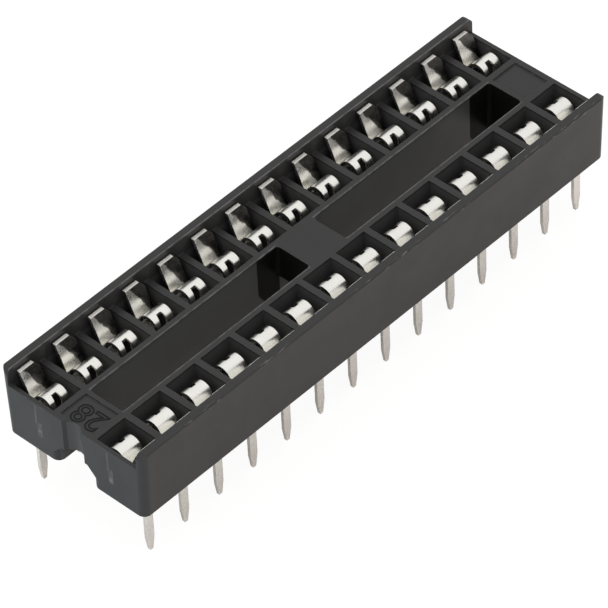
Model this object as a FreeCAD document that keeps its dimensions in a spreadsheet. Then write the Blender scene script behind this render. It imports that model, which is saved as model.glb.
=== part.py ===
import FreeCAD, Part
import Sketcher
import os

# Dual-in-line IC socket: one moulded housing and two rows of stamped spring contacts.
# Row frame, millimetres: +X runs along the rows, towards the end away from the index notch,
# +Y runs across them, +Z is up, away from the board.
# The origin is the middle of the housing's underside, where it sits on the board.

SIZES = {
    # contact grid
    "pitch": 2.54,
    "ways_per_row": 14,
    "row_spacing": 7.62,
    # housing block: its width follows the contacts, its length follows the ways
    "end_length": 1.16,
    "deck_height": 3.37,
    "wall_height": 1.04,
    "wall_thickness": 0.52,
    "wall_end_radius": 0.38,
    "wall_edge_radius": 0.09,
    "side_taper_width": 0.18,
    "end_wall_thickness": 0.24,
    "corner_radius": 0.45,
    # cells that hold the contacts
    "partition_thickness": 0.39,
    "rail_thickness": 0.34,
    "floor_thickness": 0.85,
    "tail_clearance": 0.05,
    "leaf_clearance": 0.0716,
    "roll_clearance": 0.534,
    # long open slots along the middle, and the blocks between and beyond them
    "slot_corner_radius": 0.25,
    "end_block_length": 2.46,
    "bridge_length": 2.72,
    "bridge_gap": 1.22,
    "tunnel_height": 1.27,
    "tunnel_bevel_width": 0.28,
    # index notch and the sunk panels at both ends
    "notch_depth": 0.43,
    "notch_width": 1.45,
    "panel_depth": 0.1,
    "panel_rib_width": 0.25,
    "panel_rim_width": 0.34,
    "panel_side_gap": 0.03,
    # stamped contact
    "metal_thickness": 0.2,
    "tail_width": 0.5,
    "tail_length": 3.74,
    "tail_point_length": 0.9,
    "tail_tip_width": 0.2,
    "strip_width": 1.25,
    "strip_offset": 0.09,
    "leaf_gap": 0.2,
    "leaf_bend_depth": 0.97,
    "leaf_lean_angle": 23.3,
    "leaf_top_gap": 0.38,
    "leaf_bevel_width": 0.28,
    "leaf_bevel_height": 0.33,
    "roll_radius": 0.606,
    "roll_gap": 1.15,
    "roll_depth": 0.14,
    "tongue_lean_angle": 25,
    "tongue_length": 0.44,
    "slit_offset": 0.04,
    "slit_width": 0.5,
    "slit_neck_width": 0.39,
    "slit_top_width": 0.25,
    "slit_crest_gap": 0.157,
    "slit_neck_gap": 0.08,
    "slit_shoulder_gap": 0.3,
    "slit_foot_height": 0.25,
}

# lengths that follow from the sizes above
HALF_LENGTH = "(pitch * (ways_per_row - 1) / 2 + end_length)"
WALL_TOP = "(deck_height + wall_height)"
LEAF_TOP = "(deck_height + wall_height - leaf_top_gap)"
LEAF_BEND = "(deck_height - leaf_bend_depth)"
LEAF_INNER = "(metal_thickness / 2 + leaf_gap)"
LEAF_RUN = f"(({LEAF_TOP} - {LEAF_BEND}) * tan(leaf_lean_angle))"
LEAF_SKEW = "(metal_thickness / cos(leaf_lean_angle))"
CELL_OUT = f"(row_spacing / 2 - {LEAF_INNER} + {LEAF_RUN} + {LEAF_SKEW} + leaf_clearance)"
CELL_IN = "(row_spacing / 2 - roll_gap - roll_radius - roll_clearance)"
HALF_WIDTH = f"({CELL_OUT} + wall_thickness)"
HALF_SLOT = f"({CELL_IN} - rail_thickness)"
ROLL_HEIGHT = "(deck_height - roll_depth - roll_radius)"


doc = FreeCAD.newDocument("ic_socket")
sizes = doc.addObject("Spreadsheet::Sheet", "sizes")
for row, (alias, value) in enumerate(SIZES.items(), start=1):
    sizes.set(f"A{row}", alias)
    sizes.set(f"B{row}", str(value))
    sizes.setAlias(f"B{row}", alias)
doc.recompute()


def names_to_cells(formula):
    """Turn the plain size names of a formula into references to the sheet."""
    words = []
    word = ""
    for letter in str(formula) + " ":
        if letter.isalnum() or letter == "_":
            word += letter
            continue
        words.append(f"sizes.{word}" if word in SIZES else word)
        words.append(letter)
        word = ""
    return "".join(words).strip()


def value_of(formula):
    """The number that a formula gives with the sheet as it stands."""
    return float(sizes.evalExpression(names_to_cells(formula)))


def new_body(name):
    body = doc.addObject("PartDesign::Body", name)
    body.Label = name
    return body


def new_sketch(body, name, plane, offset=None):
    """A sketch on one of the body's own planes, moved along its normal by a formula."""
    sketch = body.newObject("Sketcher::SketchObject", name)
    face = next(f for f in body.Origin.OriginFeatures if f.Role == plane)
    sketch.AttachmentSupport = [(face, "")]
    sketch.MapMode = "FlatFace"
    if offset is not None:
        sketch.setExpression("AttachmentOffset.Base.z", names_to_cells(offset))
    return sketch


def pin_point(sketch, edge, end, across, up):
    """Fix one end of an edge at a place given by two formulas."""
    for kind, formula in (("DistanceX", across), ("DistanceY", up)):
        index = sketch.addConstraint(Sketcher.Constraint(kind, -1, 1, edge, end, value_of(formula)))
        sketch.setExpression(f"Constraints[{index}]", names_to_cells(formula))


def outline(sketch, corners):
    """A closed outline through the corners, each (across, up) or (across, up, radius).

    A radius bends the side that leaves that corner: a positive one turns to the left of the
    straight way to the next corner, a negative one to the right.
    """
    start = len(sketch.Geometry)
    places = [(value_of(c[0]), value_of(c[1])) for c in corners]
    count = len(corners)
    for number, corner in enumerate(corners):
        first = FreeCAD.Vector(*places[number], 0)
        last = FreeCAD.Vector(*places[(number + 1) % count], 0)
        if len(corner) == 2:
            sketch.addGeometry(Part.LineSegment(first, last))
            continue
        radius = value_of(corner[2])
        chord = last - first
        side = FreeCAD.Vector(-chord.y, chord.x, 0).normalize()
        reach = (radius * radius - chord.Length ** 2 / 4) ** 0.5
        rise = abs(radius) - reach
        middle = (first + last) * 0.5 + side * (rise if radius > 0 else -rise)
        sketch.addGeometry(Part.Arc(first, middle, last))
    for number, corner in enumerate(corners):
        before = (number - 1) % count
        clockwise = len(corner) == 3 and value_of(corner[2]) > 0
        before_clockwise = len(corners[before]) == 3 and value_of(corners[before][2]) > 0
        here = 2 if clockwise else 1
        there = 1 if before_clockwise else 2
        sketch.addConstraint(Sketcher.Constraint("Coincident", start + before, there, start + number, here))
        pin_point(sketch, start + number, here, corner[0], corner[1])
        if len(corner) == 3:
            radius = abs(value_of(corner[2]))
            index = sketch.addConstraint(Sketcher.Constraint("Radius", start + number, radius))
            sketch.setExpression(f"Constraints[{index}]", names_to_cells(f"abs({corner[2]})"))


def rectangle(sketch, left, low, right, high):
    outline(sketch, [(left, low), (right, low), (right, high), (left, high)])


def pad(body, sketch, name, length, midplane=True):
    feature = body.newObject("PartDesign::Pad", name)
    feature.Profile = sketch
    feature.Midplane = midplane
    feature.setExpression("Length", names_to_cells(length))
    return feature


def pocket(body, sketch, name, length, upwards=False, midplane=False):
    """Cut a sketch into the body: against the sketch's normal, or along it if upwards."""
    feature = body.newObject("PartDesign::Pocket", name)
    feature.Profile = sketch
    feature.Reversed = upwards
    feature.Midplane = midplane
    feature.setExpression("Length", names_to_cells(length))
    return feature


def volume_now(body):
    doc.recompute()
    return body.Shape.Volume


def require_less(body, before, what):
    """A cut has to take material away."""
    after = volume_now(body)
    if after >= before - 1e-6:
        raise RuntimeError(f"{body.Label}: {what} removed nothing")
    return after


def edges_where(shape, test):
    """Names of the edges whose two ends both pass the test."""
    names = []
    for number, edge in enumerate(shape.Edges, start=1):
        ends = [vertex.Point for vertex in edge.Vertexes]
        if len(ends) == 2 and test(ends[0], ends[1]):
            names.append(f"Edge{number}")
    return names


def round_edges(body, name, radius, test):
    """Fillet the edges that pass the test on the body as it stands."""
    doc.recompute()
    base = body.Tip
    names = edges_where(base.Shape, test)
    if not names:
        raise RuntimeError(f"{body.Label}: no edge for {name}")
    feature = body.newObject("PartDesign::Fillet", name)
    feature.Base = (base, names)
    feature.setExpression("Radius", names_to_cells(radius))
    return feature


def near(first, second):
    return abs(first - second) < 1e-4


def pattern_along_row(body, feature, name):
    """Repeat a feature once for each way of the row, and in the opposite row."""
    multi = body.newObject("PartDesign::MultiTransform", name)
    multi.Originals = [feature]
    along = body.newObject("PartDesign::LinearPattern", name + "_along")
    axis = next(f for f in body.Origin.OriginFeatures if f.Role == "X_Axis")
    along.Direction = (axis, [""])
    along.setExpression("Length", names_to_cells("pitch * (ways_per_row - 1)"))
    along.setExpression("Occurrences", names_to_cells("ways_per_row"))
    across = body.newObject("PartDesign::Mirrored", name + "_across")
    plane = next(f for f in body.Origin.OriginFeatures if f.Role == "XZ_Plane")
    across.MirrorPlane = (plane, [""])
    multi.Transformations = [along, across]
    body.Tip = multi
    return multi


def make_housing():
    body = new_body("housing")
    first_cell = "-pitch * (ways_per_row - 1) / 2"

    # block with tapered long sides and a wall standing along each side of the deck
    section = new_sketch(body, "section", "YZ_Plane")
    outline(section, [
        (f"-({HALF_WIDTH} - side_taper_width)", "0"),
        (f"{HALF_WIDTH} - side_taper_width", "0"),
        (HALF_WIDTH, WALL_TOP),
        (CELL_OUT, WALL_TOP),
        (CELL_OUT, "deck_height"),
        (f"-{CELL_OUT}", "deck_height"),
        (f"-{CELL_OUT}", WALL_TOP),
        (f"-{HALF_WIDTH}", WALL_TOP),
    ])
    pad(body, section, "block", f"2 * {HALF_LENGTH}")
    volume = volume_now(body)

    # one cell in each way of each row, open at the deck
    cell = new_sketch(body, "cell_plan", "XY_Plane", "deck_height")
    cell_half = "(pitch - partition_thickness) / 2"
    rectangle(cell, f"{first_cell} - {cell_half}", CELL_IN, f"{first_cell} + {cell_half}", CELL_OUT)
    cells = pocket(body, cell, "cell", "deck_height - floor_thickness")
    volume = require_less(body, volume, "cell")
    pattern_along_row(body, cells, "cells")
    volume = require_less(body, volume, "cells")

    # slit in each cell's floor for the contact's tail
    slit = new_sketch(body, "tail_slit_plan", "XY_Plane", "0")
    slit_half_x = "(tail_width / 2 + tail_clearance)"
    slit_half_y = "(metal_thickness / 2 + tail_clearance)"
    rectangle(slit, f"{first_cell} - {slit_half_x}", f"row_spacing / 2 - {slit_half_y}",
              f"{first_cell} + {slit_half_x}", f"row_spacing / 2 + {slit_half_y}")
    slits = pocket(body, slit, "tail_slit", "floor_thickness", upwards=True)
    volume = require_less(body, volume, "tail slit")
    pattern_along_row(body, slits, "tail_slits")
    volume = require_less(body, volume, "tail slits")

    # wall across each end of the rows
    ends = new_sketch(body, "end_wall_plan", "XY_Plane", "floor_thickness")
    for side in ("-", ""):
        for row in ("-", ""):
            outline(ends, [
                (f"{side}{HALF_LENGTH}", f"{row}({CELL_IN} - rail_thickness / 2)"),
                (f"{side}({HALF_LENGTH} - end_wall_thickness)", f"{row}({CELL_IN} - rail_thickness / 2)"),
                (f"{side}({HALF_LENGTH} - end_wall_thickness)", f"{row}({CELL_OUT} + wall_thickness / 4)"),
                (f"{side}{HALF_LENGTH}", f"{row}({CELL_OUT} + wall_thickness / 4)"),
            ])
    pad(body, ends, "end_walls", "deck_height - floor_thickness", midplane=False)
    doc.recompute()

    # two long slots right through, either side of the bridge
    slots = new_sketch(body, "slot_plan", "XY_Plane", "deck_height")
    for side in (-1, 1):
        rounded_slot(slots, side)
    volume = volume_now(body)
    pocket(body, slots, "slots", "deck_height")
    volume = require_less(body, volume, "slots")

    # the bridge stands clear of the board
    arch = new_sketch(body, "arch_plan", "XY_Plane", "0")
    reach = "(bridge_length / 2 + slot_corner_radius)"
    rectangle(arch, f"-{reach}", f"-{HALF_SLOT}", reach, HALF_SLOT)
    pocket(body, arch, "arch", "bridge_gap", upwards=True)
    volume = require_less(body, volume, "arch")

    # and so does the block at the notched end, which leaves a tunnel between two legs
    tunnel_end = f"({HALF_LENGTH} - end_block_length - slot_corner_radius)"
    tunnel = new_sketch(body, "tunnel_section", "YZ_Plane", f"-{tunnel_end}")
    outline(tunnel, [
        (f"-{HALF_SLOT}", "0"),
        (HALF_SLOT, "0"),
        (HALF_SLOT, "tunnel_height - tunnel_bevel_width"),
        (f"{HALF_SLOT} - tunnel_bevel_width", "tunnel_height"),
        (f"-({HALF_SLOT} - tunnel_bevel_width)", "tunnel_height"),
        (f"-{HALF_SLOT}", "tunnel_height - tunnel_bevel_width"),
    ])
    pocket(body, tunnel, "tunnel", "end_block_length + slot_corner_radius")
    volume = require_less(body, volume, "tunnel")

    # outer corners of the block, and the inner corners of the tunnel's mouth
    def outer_corner(a, b):
        low = value_of(f"{HALF_WIDTH} - side_taper_width")
        long = value_of(HALF_LENGTH)
        upright = near(abs(a.z - b.z), value_of(WALL_TOP))
        return upright and near(abs(a.x), long) and near(abs(b.x), long) and \
            min(abs(a.y), abs(b.y)) > low - 1e-4
    round_edges(body, "corners", "corner_radius", outer_corner)

    def tunnel_mouth(a, b):
        long = value_of(HALF_LENGTH)
        mouth = value_of(HALF_SLOT)
        upright = near(abs(a.z - b.z), value_of("tunnel_height - tunnel_bevel_width"))
        return upright and near(a.x, -long) and near(b.x, -long) and near(abs(a.y), mouth) and \
            near(abs(b.y), mouth)
    round_edges(body, "tunnel_mouth", "corner_radius", tunnel_mouth)
    volume = volume_now(body)

    # each standing wall is rounded off at both of its ends
    wall_ends = new_sketch(body, "wall_end_side", "XZ_Plane")
    turn = "wall_end_radius"
    outline(wall_ends, [
        (f"-{HALF_LENGTH}", f"{WALL_TOP} - {turn}", turn),
        (f"-({HALF_LENGTH} - {turn})", WALL_TOP),
        (f"-{HALF_LENGTH}", WALL_TOP),
    ])
    outline(wall_ends, [
        (f"{HALF_LENGTH} - {turn}", WALL_TOP, turn),
        (HALF_LENGTH, f"{WALL_TOP} - {turn}"),
        (HALF_LENGTH, WALL_TOP),
    ])
    pocket(body, wall_ends, "wall_ends", f"2 * {HALF_WIDTH}", midplane=True)
    volume = require_less(body, volume, "wall ends")

    # and along the outer edge of its top
    edges = new_sketch(body, "wall_edge_section", "YZ_Plane")
    soft = "wall_edge_radius"
    for side in ("-", ""):
        bend = f"-{soft}" if side == "-" else soft
        outline(edges, [
            (f"{side}({HALF_WIDTH} - {soft})", WALL_TOP, bend),
            (f"{side}{HALF_WIDTH}", f"{WALL_TOP} - {soft}"),
            (f"{side}({HALF_WIDTH} + {soft})", f"{WALL_TOP} - {soft}"),
            (f"{side}({HALF_WIDTH} + {soft})", WALL_TOP),
        ])
    pocket(body, edges, "wall_edges", f"2 * {HALF_LENGTH}", midplane=True)
    volume = require_less(body, volume, "wall edges")

    # index notch down the end of the block
    notch = new_sketch(body, "notch_plan", "XY_Plane", "deck_height")
    radius = "(notch_depth ^ 2 + (notch_width / 2) ^ 2) / (2 * notch_depth)"
    circle = notch.addGeometry(Part.Circle(
        FreeCAD.Vector(value_of(f"-({HALF_LENGTH} - notch_depth + {radius})"), 0, 0),
        FreeCAD.Vector(0, 0, 1), value_of(radius)))
    index = notch.addConstraint(Sketcher.Constraint("Radius", circle, value_of(radius)))
    notch.setExpression(f"Constraints[{index}]", names_to_cells(radius))
    pin_point(notch, circle, 3, f"-({HALF_LENGTH} - notch_depth + {radius})", "0")
    pocket(body, notch, "index_notch", "deck_height")
    volume = require_less(body, volume, "index notch")

    # shallow sunk panel on the block at each end
    panels = new_sketch(body, "panel_plan", "XY_Plane", "deck_height")
    half_panel = f"({HALF_SLOT} - panel_side_gap)"
    for side in ("-", ""):
        outline(panels, [
            (f"{side}({HALF_LENGTH} - panel_rim_width)", f"-{half_panel}"),
            (f"{side}({HALF_LENGTH} - panel_rim_width)", half_panel),
            (f"{side}({HALF_LENGTH} - end_block_length + panel_rib_width)", half_panel),
            (f"{side}({HALF_LENGTH} - end_block_length + panel_rib_width)", f"-{half_panel}"),
        ])
    pocket(body, panels, "panels", "panel_depth")
    volume = require_less(body, volume, "panels")
    return body


def rounded_slot(sketch, side):
    """The plan of one long slot, with four quarter-round corners."""
    near_end = "bridge_length / 2"
    far_end = f"{HALF_LENGTH} - end_block_length"
    left = near_end if side > 0 else f"-({far_end})"
    right = far_end if side > 0 else f"-({near_end})"
    turn = "slot_corner_radius"
    outline(sketch, [
        (f"{left} + {turn}", f"-{HALF_SLOT}"),
        (f"{right} - {turn}", f"-{HALF_SLOT}", f"-{turn}"),
        (right, f"-({HALF_SLOT} - {turn})"),
        (right, f"{HALF_SLOT} - {turn}", f"-{turn}"),
        (f"{right} - {turn}", HALF_SLOT),
        (f"{left} + {turn}", HALF_SLOT, f"-{turn}"),
        (left, f"{HALF_SLOT} - {turn}"),
        (left, f"-({HALF_SLOT} - {turn})", f"-{turn}"),
    ])


# A contact's own frame has X along the row, Y outwards from the socket's middle with 0 at the
# tail, and Z as the housing's.
def make_contact(name, way, outwards):
    body = new_body(name)

    # outer leaf, from the base up, leaning outwards above its bend
    leaf = new_sketch(body, name + "_leaf_side", "YZ_Plane", "strip_offset")
    outer = f"({LEAF_INNER} - metal_thickness)"
    outline(leaf, [
        (f"-{LEAF_INNER}", "floor_thickness"),
        (f"-{outer}", "floor_thickness"),
        (f"-{outer}", f"{LEAF_BEND} - metal_thickness * tan(leaf_lean_angle / 2)"),
        (f"{LEAF_RUN} - {LEAF_INNER} + {LEAF_SKEW}", LEAF_TOP),
        (f"{LEAF_RUN} - {LEAF_INNER}", LEAF_TOP),
        (f"-{LEAF_INNER}", LEAF_BEND),
    ])
    pad(body, leaf, name + "_leaf", "strip_width")

    # base, inner leaf, the roll over its top and the tongue down towards the outer leaf
    strip = new_sketch(body, name + "_strip_side", "YZ_Plane", "strip_offset")
    inner = "(roll_radius - metal_thickness)"
    outer_side = "-(roll_gap + roll_radius)"
    inner_side = f"-(roll_gap + {inner})"
    turn_across = "cos(tongue_lean_angle)"
    turn_up = "sin(tongue_lean_angle)"
    root_in = (f"(-roll_gap + {inner} * {turn_across})", f"({ROLL_HEIGHT} + {inner} * {turn_up})")
    root_out = (f"(-roll_gap + roll_radius * {turn_across})", f"({ROLL_HEIGHT} + roll_radius * {turn_up})")
    outline(strip, [
        (outer_side, "floor_thickness"),
        ("metal_thickness / 2", "floor_thickness"),
        ("metal_thickness / 2", "floor_thickness + metal_thickness"),
        (inner_side, "floor_thickness + metal_thickness"),
        (inner_side, ROLL_HEIGHT, inner),
        root_in,
        (f"{root_in[0]} + tongue_length * {turn_up}", f"{root_in[1]} - tongue_length * {turn_across}"),
        (f"{root_out[0]} + tongue_length * {turn_up}", f"{root_out[1]} - tongue_length * {turn_across}"),
        (root_out[0], root_out[1], "-roll_radius"),
        (outer_side, ROLL_HEIGHT),
    ])
    pad(body, strip, name + "_strip", "strip_width")

    # flat tail with a tapered tip, down through the floor and the board
    tail = new_sketch(body, name + "_tail_front", "XZ_Plane")
    outline(tail, [
        ("-tail_tip_width / 2", "-tail_length"),
        ("tail_tip_width / 2", "-tail_length"),
        ("tail_width / 2", "-tail_length + tail_point_length"),
        ("tail_width / 2", "floor_thickness + metal_thickness"),
        ("-tail_width / 2", "floor_thickness + metal_thickness"),
        ("-tail_width / 2", "-tail_length + tail_point_length"),
    ])
    pad(body, tail, name + "_tail", "metal_thickness")
    volume = volume_now(body)

    # one top corner of the outer leaf is cut off
    bevel = new_sketch(body, name + "_bevel_front", "XZ_Plane")
    edge = "(strip_offset + strip_width / 2)"
    outline(bevel, [
        (f"{edge} - leaf_bevel_width", LEAF_TOP),
        (edge, f"{LEAF_TOP} - leaf_bevel_height"),
        (edge, LEAF_TOP),
    ])
    pocket(body, bevel, name + "_bevel", "row_spacing", midplane=True)
    volume = require_less(body, volume, "leaf bevel")

    # slit down the inner leaf, from just past the crest of the roll
    slit = new_sketch(body, name + "_slit_front", "XZ_Plane", "roll_gap + slit_crest_gap")
    crest = f"({ROLL_HEIGHT} + roll_radius)"
    foot = "floor_thickness + metal_thickness + slit_foot_height"
    outline(slit, [
        ("slit_offset - slit_width / 2", foot),
        ("slit_offset + slit_width / 2", foot),
        ("slit_offset + slit_width / 2", f"{crest} - slit_shoulder_gap"),
        ("slit_offset + slit_neck_width / 2", f"{crest} - slit_neck_gap"),
        ("slit_offset + slit_top_width / 2", crest),
        ("slit_offset - slit_top_width / 2", crest),
        ("slit_offset - slit_neck_width / 2", f"{crest} - slit_neck_gap"),
        ("slit_offset - slit_width / 2", f"{crest} - slit_shoulder_gap"),
    ])
    pocket(body, slit, name + "_slit", "roll_radius", upwards=True)
    require_less(body, volume, "slit")

    body.setExpression("Placement.Base.x", names_to_cells(f"pitch * ({way} - (ways_per_row - 1) / 2)"))
    if outwards > 0:
        body.setExpression("Placement.Base.y", names_to_cells("row_spacing / 2"))
    else:
        body.setExpression("Placement.Base.y", names_to_cells("-row_spacing / 2"))
        body.Placement.Rotation = FreeCAD.Rotation(FreeCAD.Vector(0, 0, 1), 180)
    return body


sub_parts = [make_housing()]
ways = int(SIZES["ways_per_row"])
for way in range(ways):
    sub_parts.append(make_contact(f"contact_{way + 1:02d}", way, -1))
for way in range(ways):
    sub_parts.append(make_contact(f"contact_{ways + way + 1:02d}", ways - 1 - way, 1))
doc.recompute()

for item in doc.Objects:
    if "Invalid" in item.State or "Error" in item.State:
        raise RuntimeError(f"{item.Label} did not compute: {item.State}")
for part in sub_parts:
    if part.Shape.isNull() or not part.Shape.isValid() or len(part.Shape.Solids) != 1:
        raise RuntimeError(f"{part.Label} is not one sound solid")

os.makedirs("parts", exist_ok=True)
for part in sub_parts:
    part.Shape.exportStep(f"parts/{part.Label}.step")
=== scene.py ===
import math

import bpy
from mathutils import Matrix, Vector


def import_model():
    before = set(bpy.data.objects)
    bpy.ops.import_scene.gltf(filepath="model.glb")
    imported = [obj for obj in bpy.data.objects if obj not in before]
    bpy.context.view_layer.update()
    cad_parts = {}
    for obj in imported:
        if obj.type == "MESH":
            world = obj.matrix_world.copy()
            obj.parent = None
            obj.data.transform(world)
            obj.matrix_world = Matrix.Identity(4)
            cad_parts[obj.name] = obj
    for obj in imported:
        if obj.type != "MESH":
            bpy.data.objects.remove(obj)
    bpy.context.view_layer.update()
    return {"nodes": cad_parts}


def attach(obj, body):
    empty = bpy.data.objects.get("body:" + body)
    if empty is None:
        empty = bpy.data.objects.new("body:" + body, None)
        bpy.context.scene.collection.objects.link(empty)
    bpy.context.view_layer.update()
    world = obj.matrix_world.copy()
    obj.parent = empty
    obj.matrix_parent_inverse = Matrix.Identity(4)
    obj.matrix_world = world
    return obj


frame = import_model()

MM = 0.001
PITCH = 2.54 * MM
DECK = 3.37 * MM
LEAF_TOP = 4.03 * MM
PANEL_DEPTH = 0.1 * MM
TAIL_TIP = -3.74 * MM
SOFT_EDGE = 0.05 * MM

RIDGE_ROWS = (-2.45 * MM, 2.60 * MM)
RIDGE_HEIGHT = 2.62 * MM
RIDGE_HALF_LENGTH = 0.55 * MM
FLAW_ROWS = (-2.58 * MM, 2.42 * MM)
FLAW_HEIGHT = 1.55 * MM
FLAW_HALF_LENGTH = 0.30 * MM
SCUFF_SPANS = ((0.4, 2.1), (5.4, 0.8), (14.0, 3.0), (-8.5, 0.9), (-13.2, 1.2))
SLOT_EDGE = 1.20 * MM
SLOT_END_SHADES = ((-1.36 * MM, 1.05 * MM), (15.21 * MM, 1.30 * MM))
SHADE_REACH = 1.5 * MM
SHADE_SLANT = 0.6
LEAF_SHADE_START = 0.35 * MM
LEAF_SHADE_SLANT = 0.55
NUMERAL_HEIGHT = 1.86 * MM
NUMERAL_PLACE = (-16.48 * MM, -0.10 * MM, DECK - PANEL_DEPTH)

PLASTIC_TONES = ((0.0290, 0.0280, 0.0270), (0.0350, 0.0345, 0.0350))
INSIDE_PAINTED_LIGHT_TONE = (0.062, 0.063, 0.062)
SHADE_TONE = (0.006, 0.006, 0.0055)
EDGE_HIGHLIGHT_TONE = (0.17, 0.17, 0.168)
WEAR_AND_HIGHLIGHT_TONE = (0.13, 0.13, 0.13)
PALE_TONE = (0.23, 0.225, 0.215)
TIN_TONES = ((0.86, 0.84, 0.78), (0.97, 0.96, 0.92))
LEAF_SHADE_TONES = ((0.055, 0.052, 0.048), (0.17, 0.165, 0.155))
MARK_TONES = ((0.008, 0.008, 0.008), (0.018, 0.018, 0.018))
WARM_BOUNCE = (1.0, 0.95, 0.92)
COOL_BOUNCE = (0.88, 0.95, 1.0)
FLECK_TONE = (0.8, 0.8, 0.8)
WHITE = (1, 1, 1, 1)

CAMERA_AZIMUTH = -45.0987
CAMERA_ELEVATION = 44.3073
CAMERA_ROLL = -2.9951
CAMERA_DISTANCE = 267.590 * MM
CAMERA_OFFSET = (-0.5080 * MM, -0.8092 * MM)
FOCAL_PIXELS = 5127.72
PHOTO_PIXELS = 608
SENSOR_WIDTH = 36.0


class Tree:
    """The node tree of one material, with short calls for the nodes that are used often."""

    def __init__(self, name):
        self.material = bpy.data.materials.new(name)
        self.material.use_nodes = True
        self.tree = self.material.node_tree
        self.tree.nodes.clear()
        self.output = self.add("ShaderNodeOutputMaterial")

    def add(self, kind, **settings):
        node = self.tree.nodes.new(kind)
        for key, value in settings.items():
            setattr(node, key, value)
        return node

    def link(self, source, target):
        self.tree.links.new(source, target)

    def place(self):
        """Where the shaded point is in the object's own frame, and its three coordinates."""
        point = self.add("ShaderNodeTexCoord").outputs["Object"]
        split = self.add("ShaderNodeSeparateXYZ")
        self.link(point, split.inputs[0])
        return point, split.outputs["X"], split.outputs["Y"], split.outputs["Z"]

    def maths(self, operation, first, second=None):
        node = self.add("ShaderNodeMath", operation=operation)
        for socket, value in zip(node.inputs, (first, second)):
            if value is None:
                continue
            if isinstance(value, (int, float)):
                socket.default_value = value
            else:
                self.link(value, socket)
        return node.outputs[0]

    def product(self, first, *others):
        for value in others:
            first = self.maths("MULTIPLY", first, value)
        return first

    def most(self, first, *others):
        """The largest of several values."""
        for value in others:
            first = self.maths("MAXIMUM", first, value)
        return first

    def stretched(self, point, scale):
        node = self.add("ShaderNodeVectorMath", operation="MULTIPLY")
        self.link(point, node.inputs[0])
        node.inputs[1].default_value = scale
        return node.outputs[0]

    def noise(self, point, scale, detail=3.0, roughness=0.55):
        node = self.add("ShaderNodeTexNoise")
        node.inputs["Scale"].default_value = scale
        node.inputs["Detail"].default_value = detail
        node.inputs["Roughness"].default_value = roughness
        self.link(point, node.inputs["Vector"])
        return node.outputs["Fac"]

    def remap(self, value, low, high, to_low, to_high):
        node = self.add("ShaderNodeMapRange", interpolation_type="SMOOTHSTEP")
        node.inputs["From Min"].default_value = low
        node.inputs["From Max"].default_value = high
        node.inputs["To Min"].default_value = to_low
        node.inputs["To Max"].default_value = to_high
        self.link(value, node.inputs["Value"])
        return node.outputs["Result"]

    def rise(self, value, low, high):
        """0 up to low, and 1 from high on."""
        return self.remap(value, low, high, 0.0, 1.0)

    def fall(self, value, low, high):
        """1 up to low, and 0 from high on."""
        return self.remap(value, low, high, 1.0, 0.0)

    def band(self, value, centre, half, soft):
        """1 within half of the centre, falling to 0 over the soft width beyond."""
        away = self.maths("ABSOLUTE", self.maths("SUBTRACT", value, centre))
        return self.fall(away, half, half + soft)

    def bands(self, value, centres, half, soft):
        return self.most(*(self.band(value, centre, half, soft) for centre in centres))

    def mix(self, factor, first, second):
        """A colour between two, each a colour or a socket."""
        node = self.add("ShaderNodeMix", data_type="RGBA")
        for socket, value in ((node.inputs[6], first), (node.inputs[7], second)):
            if isinstance(value, tuple):
                socket.default_value = (*value, 1)
            else:
                self.link(value, socket)
        self.link(factor, node.inputs[0])
        return node.outputs[2]

    def rounded(self, radius):
        """The normal with every edge rounded by the radius."""
        bevel = self.add("ShaderNodeBevel", samples=6)
        bevel.inputs["Radius"].default_value = radius
        return bevel.outputs["Normal"]

    def edges(self, radius):
        """1 along sharp edges and 0 on flat faces."""
        dot = self.add("ShaderNodeVectorMath", operation="DOT_PRODUCT")
        self.link(self.rounded(radius), dot.inputs[0])
        self.link(self.add("ShaderNodeNewGeometry").outputs["Normal"], dot.inputs[1])
        return self.fall(dot.outputs["Value"], 0.85, 0.99)

    def bump(self, height, strength, distance, normal):
        node = self.add("ShaderNodeBump")
        node.inputs["Strength"].default_value = strength
        node.inputs["Distance"].default_value = distance
        self.link(height, node.inputs["Height"])
        self.link(normal, node.inputs["Normal"])
        return node.outputs["Normal"]

    def finish(self, shader):
        self.link(shader.outputs[0], self.output.inputs["Surface"])
        return self.material


def near_wall_scuffs(tree, point, x, y, z):
    """Scuffs along stretches of the near wall's top."""
    near_top = tree.product(tree.fall(y, -4.92 * MM, -4.82 * MM),
                            tree.rise(z, 4.24 * MM, 4.32 * MM))
    streaks = tree.noise(tree.stretched(point, (0.12, 1.0, 1.0)), 14000.0)
    stretches = tree.most(*(tree.band(x, centre * MM, half * MM, 0.8 * MM)
                            for centre, half in SCUFF_SPANS))
    return tree.product(near_top, tree.rise(streaks, 0.56, 0.70), stretches)


def end_ridges(tree, mottle, x, y, z):
    """Thin moulding ridges down the notched end, and the pale flaw below each."""
    end_face = tree.fall(x, -17.6 * MM, -17.5 * MM)
    ridge = tree.product(tree.bands(y, RIDGE_ROWS, 0.04 * MM, 0.07 * MM),
                         tree.band(z, RIDGE_HEIGHT, RIDGE_HALF_LENGTH, 0.2 * MM), end_face)
    flaw = tree.product(tree.bands(y, FLAW_ROWS, 0.08 * MM, 0.12 * MM),
                        tree.band(z, FLAW_HEIGHT, FLAW_HALF_LENGTH, 0.3 * MM), end_face,
                        tree.remap(mottle, 0.25, 0.60, 0.0, 0.8))
    return ridge, flaw


def inside_painted_light(tree, x, y, z):
    """The faces inside the cells and slots, painted a little paler as painted reflected light
    from the table below.
    """
    return tree.product(tree.fall(z, 3.18 * MM, DECK - PANEL_DEPTH),
                        tree.band(y, 0.0, 4.6 * MM, 0.05 * MM),
                        tree.band(x, 0.0, 17.45 * MM, 0.05 * MM),
                        tree.rise(z, 0.0, 0.02 * MM))


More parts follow.
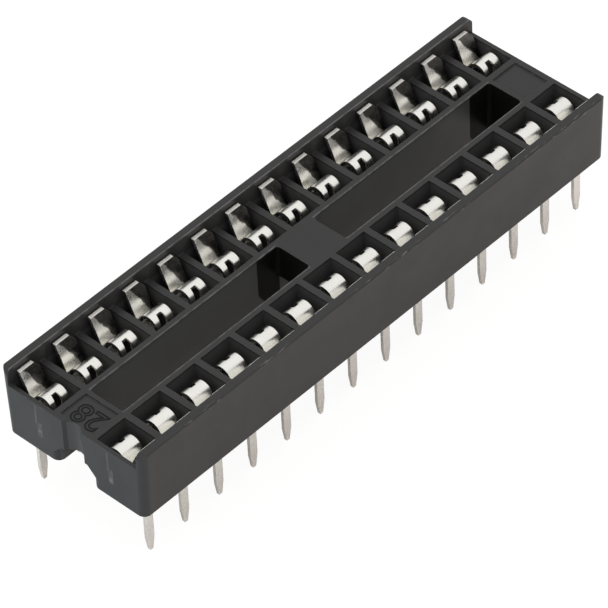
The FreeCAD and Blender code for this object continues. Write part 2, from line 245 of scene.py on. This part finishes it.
def edge_highlight_lines(tree, mottle, x, y, z):
    """Painted highlights: light lines along the slots' long edges and the far wall's inner
    edge.
    """
    slots = tree.product(tree.band(tree.maths("ABSOLUTE", y), SLOT_EDGE, 0.015 * MM, 0.04 * MM),
                         tree.band(tree.maths("ABSOLUTE", x), 8.3 * MM, 6.8 * MM, 0.2 * MM),
                         tree.rise(z, 3.25 * MM, 3.33 * MM))
    wall = tree.product(tree.band(y, 4.53 * MM, 0.015 * MM, 0.03 * MM),
                        tree.rise(z, 4.3 * MM, 4.38 * MM))
    return tree.product(tree.most(slots, wall), tree.remap(mottle, 0.35, 0.6, 0.35, 1.0))


def slot_end_shade(tree, x, y, z):
    """Painted shade at the +X end of either slot, whose border slants near the board."""
    slant = tree.maths("ADD", x, tree.maths("MULTIPLY", z, SHADE_SLANT))
    ends = []
    for end, reach in SLOT_END_SHADES:
        start = end - reach
        wedge = tree.rise(slant, start - 0.1 * MM, start + 0.1 * MM)
        wall = tree.rise(x, end - 0.15 * MM, end - 0.05 * MM)
        ends.append(tree.product(tree.most(wedge, wall),
                                 tree.fall(x, end + 0.04 * MM, end + 0.08 * MM),
                                 tree.rise(x, end - SHADE_REACH - 0.1 * MM, end - SHADE_REACH)))
    return tree.product(tree.most(*ends), tree.band(y, 0.0, SLOT_EDGE, 0.02 * MM),
                        tree.fall(z, 3.30 * MM, 3.36 * MM))


def plastic_material():
    tree = Tree("moulded_black")
    shader = tree.add("ShaderNodeBsdfPrincipled")
    point, x, y, z = tree.place()
    cloud = tree.noise(point, 500.0)
    mottle = tree.noise(point, 2600.0)
    grain = tree.noise(point, 9000.0, 3.0, 0.6)
    drawn = tree.noise(tree.stretched(point, (1.0, 1.0, 0.12)), 4200.0, 2.0)

    # Partly real edge wear, partly a painted highlight on every sharp edge.
    wear_and_edge_highlight = tree.product(tree.edges(SOFT_EDGE), tree.remap(mottle, 0.42, 0.62, 0.25, 1.0))
    ridge, flaw = end_ridges(tree, mottle, x, y, z)
    # The ridges' pale share is a painted highlight; the scuffs and flaws are the part's own
    # marks.
    pale = tree.most(near_wall_scuffs(tree, point, x, y, z), flaw, tree.product(ridge, 0.35))
    shade = slot_end_shade(tree, x, y, z)

    tone = tree.mix(cloud, *PLASTIC_TONES)
    # Painted reflected light: the inside faces are made paler.
    tone = tree.mix(inside_painted_light(tree, x, y, z), tone, INSIDE_PAINTED_LIGHT_TONE)
    # Painted shade darkens the +X ends of the slots.
    tone = tree.mix(shade, tone, SHADE_TONE)
    # Painted highlight along the slot edges and the far wall's inner edge.
    tone = tree.mix(tree.product(edge_highlight_lines(tree, mottle, x, y, z), 0.8), tone, EDGE_HIGHLIGHT_TONE)
    tone = tree.mix(tree.product(wear_and_edge_highlight, 0.75), tone, WEAR_AND_HIGHLIGHT_TONE)
    tone = tree.mix(tree.product(pale, 0.8), tone, PALE_TONE)
    tree.link(tone, shader.inputs["Base Color"])

    rough = tree.maths("ADD", tree.remap(cloud, 0.3, 0.7, 0.30, 0.42), tree.product(pale, 0.2))
    tree.link(rough, shader.inputs["Roughness"])
    # The painted shade also lowers the specular level at the slot ends.
    tree.link(tree.remap(shade, 0.0, 1.0, 0.5, 0.08), shader.inputs["Specular IOR Level"])
    shader.inputs["IOR"].default_value = 1.38

    normal = tree.bump(drawn, 0.10, 0.02 * MM, tree.rounded(SOFT_EDGE))
    normal = tree.bump(grain, 0.14, 0.01 * MM, normal)
    normal = tree.bump(ridge, 0.8, 0.06 * MM, normal)
    tree.link(normal, shader.inputs["Normal"])
    return tree.finish(shader)


def leaf_painted_shade(tree, cloud, x, y, z):
    """Painted shade on the far row's outer leaves, dark past a slanting line."""
    turn = tree.maths("FRACT", tree.maths("ADD", tree.maths("DIVIDE", x, PITCH), 1.0))
    along = tree.product(tree.maths("SUBTRACT", turn, 0.5), PITCH)
    slant = tree.product(tree.maths("SUBTRACT", LEAF_TOP, z), LEAF_SHADE_SLANT)
    past = tree.maths("SUBTRACT", tree.maths("ADD", along, LEAF_SHADE_START), slant)
    ragged = tree.product(tree.maths("SUBTRACT", cloud, 0.5), 0.5 * MM)
    past = tree.maths("ADD", past, ragged)
    return tree.product(tree.rise(past, -0.05 * MM, 0.07 * MM),
                        tree.rise(y, 3.40 * MM, 3.50 * MM),
                        tree.fall(z, LEAF_TOP - 0.03 * MM, LEAF_TOP),
                        tree.rise(z, 1.0 * MM, 1.6 * MM))


def tin_material():
    tree = Tree("bright_tin")
    shader = tree.add("ShaderNodeBsdfPrincipled")
    point, x, y, z = tree.place()
    cloud = tree.noise(point, 1500.0)
    fine = tree.noise(point, 9000.0, 2.0)
    rolled = tree.noise(tree.stretched(point, (1.0, 0.15, 0.15)), 9000.0, 2.0)

    # Painted shade: a darker mottled tone on the far leaves past the slant.
    leaf_shade = tree.mix(tree.noise(point, 3500.0), *LEAF_SHADE_TONES)
    tone = tree.mix(leaf_painted_shade(tree, cloud, x, y, z), tree.mix(cloud, *TIN_TONES), leaf_shade)
    tree.link(tone, shader.inputs["Base Color"])
    shader.inputs["Metallic"].default_value = 1.0

    cut_edge = tree.remap(z, LEAF_TOP - 0.03 * MM, LEAF_TOP - 0.01 * MM, 0.0, 0.35)
    rough = tree.maths("ADD", tree.remap(cloud, 0.3, 0.7, 0.20, 0.36), cut_edge)
    tree.link(rough, shader.inputs["Roughness"])

    normal = tree.bump(rolled, 0.18, 0.01 * MM, tree.rounded(SOFT_EDGE))
    normal = tree.bump(fine, 0.25, 0.01 * MM, normal)
    tree.link(normal, shader.inputs["Normal"])
    return tree.finish(shader)


def mark_material():
    tree = Tree("sunk_outline")
    shader = tree.add("ShaderNodeBsdfPrincipled")
    point, *_ = tree.place()
    tone = tree.mix(tree.noise(point, 6000.0, 2.0), *MARK_TONES)
    tree.link(tone, shader.inputs["Base Color"])
    shader.inputs["Roughness"].default_value = 0.6
    shader.inputs["Specular IOR Level"].default_value = 0.2
    return tree.finish(shader)


def floor_material():
    """White where the camera sees it, and still darkened by the part's shadow.

    Its bounce is cool beyond the notched end and warm beside the near wall.
    """
    tree = Tree("white_table")
    diffuse = tree.add("ShaderNodeBsdfDiffuse")
    point, x, *_ = tree.place()
    tone = tree.mix(tree.fall(x, -20.0 * MM, -16.5 * MM), WARM_BOUNCE, COOL_BOUNCE)
    tone = tree.mix(tree.product(tree.noise(point, 400.0, 2.0), 0.06), tone, FLECK_TONE)
    tree.link(tone, diffuse.inputs["Color"])
    glow = tree.add("ShaderNodeEmission")
    glow.inputs["Color"].default_value = WHITE
    glow.inputs["Strength"].default_value = 1.08
    seen = tree.add("ShaderNodeLightPath").outputs["Is Camera Ray"]
    both = tree.add("ShaderNodeMixShader")
    tree.link(tree.product(seen, 0.85), both.inputs[0])
    tree.link(diffuse.outputs[0], both.inputs[1])
    tree.link(glow.outputs[0], both.inputs[2])
    return tree.finish(both)


def dress_nodes():
    plastic = plastic_material()
    tin = tin_material()
    for name, node in frame["nodes"].items():
        material = plastic if name == "housing" else tin
        for slot in node.material_slots:
            slot.material = material
        if not node.material_slots:
            node.data.materials.append(material)


def numerals():
    """Plain outline numerals sunk in the panel at the notched end."""
    text = bpy.data.curves.new("numerals", "FONT")
    text.body = "28"
    text.size = NUMERAL_HEIGHT
    text.align_x = "CENTER"
    text.align_y = "CENTER"
    text.fill_mode = "NONE"
    text.bevel_depth = 0.045 * MM
    text.bevel_resolution = 1
    text.resolution_u = 4
    piece = bpy.data.objects.new("numerals", text)
    bpy.context.scene.collection.objects.link(piece)
    turn = Matrix.Rotation(math.radians(90), 4, "Z")
    piece.matrix_world = Matrix.Translation(Vector(NUMERAL_PLACE)) @ turn
    text.materials.append(mark_material())
    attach(piece, "root")


def stage():
    bpy.ops.mesh.primitive_plane_add(size=4.0, location=(0, 0, TAIL_TIP))
    floor = bpy.context.object
    floor.name = "table"
    floor.data.materials.append(floor_material())


def world():
    """A bright ceiling that fades towards the horizon, a little dimmer on the right."""
    surroundings = bpy.data.worlds.new("studio")
    surroundings.use_nodes = True
    nodes = surroundings.node_tree.nodes
    link = surroundings.node_tree.links.new
    nodes.clear()
    split = nodes.new("ShaderNodeSeparateXYZ")
    link(nodes.new("ShaderNodeTexCoord").outputs["Generated"], split.inputs[0])
    strength = nodes.new("ShaderNodeMath")
    strength.operation = "MULTIPLY"
    for number, (axis, low, high, to_low, to_high) in enumerate((("Z", 0.0, 0.7, 0.6, 1.0),
                                                                 ("X", -0.6, 0.8, 1.1, 0.85))):
        fade = nodes.new("ShaderNodeMapRange")
        fade.inputs["From Min"].default_value = low
        fade.inputs["From Max"].default_value = high
        fade.inputs["To Min"].default_value = to_low
        fade.inputs["To Max"].default_value = to_high
        link(split.outputs[axis], fade.inputs["Value"])
        link(fade.outputs["Result"], strength.inputs[number])
    background = nodes.new("ShaderNodeBackground")
    background.inputs["Color"].default_value = WHITE
    link(strength.outputs[0], background.inputs["Strength"])
    output = nodes.new("ShaderNodeOutputWorld")
    link(background.outputs[0], output.inputs["Surface"])
    bpy.context.scene.world = surroundings


def camera():
    """At the photograph's angle: 45 degrees round, 44 up, rolled 3, 268 mm away."""
    azimuth = math.radians(CAMERA_AZIMUTH)
    elevation = math.radians(CAMERA_ELEVATION)
    roll = math.radians(CAMERA_ROLL)
    back = Vector((math.sin(azimuth) * math.cos(elevation),
                   -math.cos(azimuth) * math.cos(elevation), math.sin(elevation)))
    level = Vector((math.cos(azimuth), math.sin(azimuth), 0))
    rise = back.cross(level)
    right = level * math.cos(roll) + rise * math.sin(roll)
    up = rise * math.cos(roll) - level * math.sin(roll)
    data = bpy.data.cameras.new("camera")
    data.sensor_width = SENSOR_WIDTH
    data.lens = FOCAL_PIXELS / PHOTO_PIXELS * SENSOR_WIDTH
    data.clip_start = 0.01
    data.clip_end = 20.0
    view = bpy.data.objects.new("camera", data)
    bpy.context.scene.collection.objects.link(view)
    place = right * CAMERA_OFFSET[0] + up * CAMERA_OFFSET[1] + back * CAMERA_DISTANCE
    turn = Matrix((right, up, back)).transposed().to_4x4()
    view.matrix_world = Matrix.Translation(place) @ turn
    bpy.context.scene.camera = view


dress_nodes()
numerals()
stage()
world()
camera()
bpy.context.scene.view_settings.view_transform = "Standard"
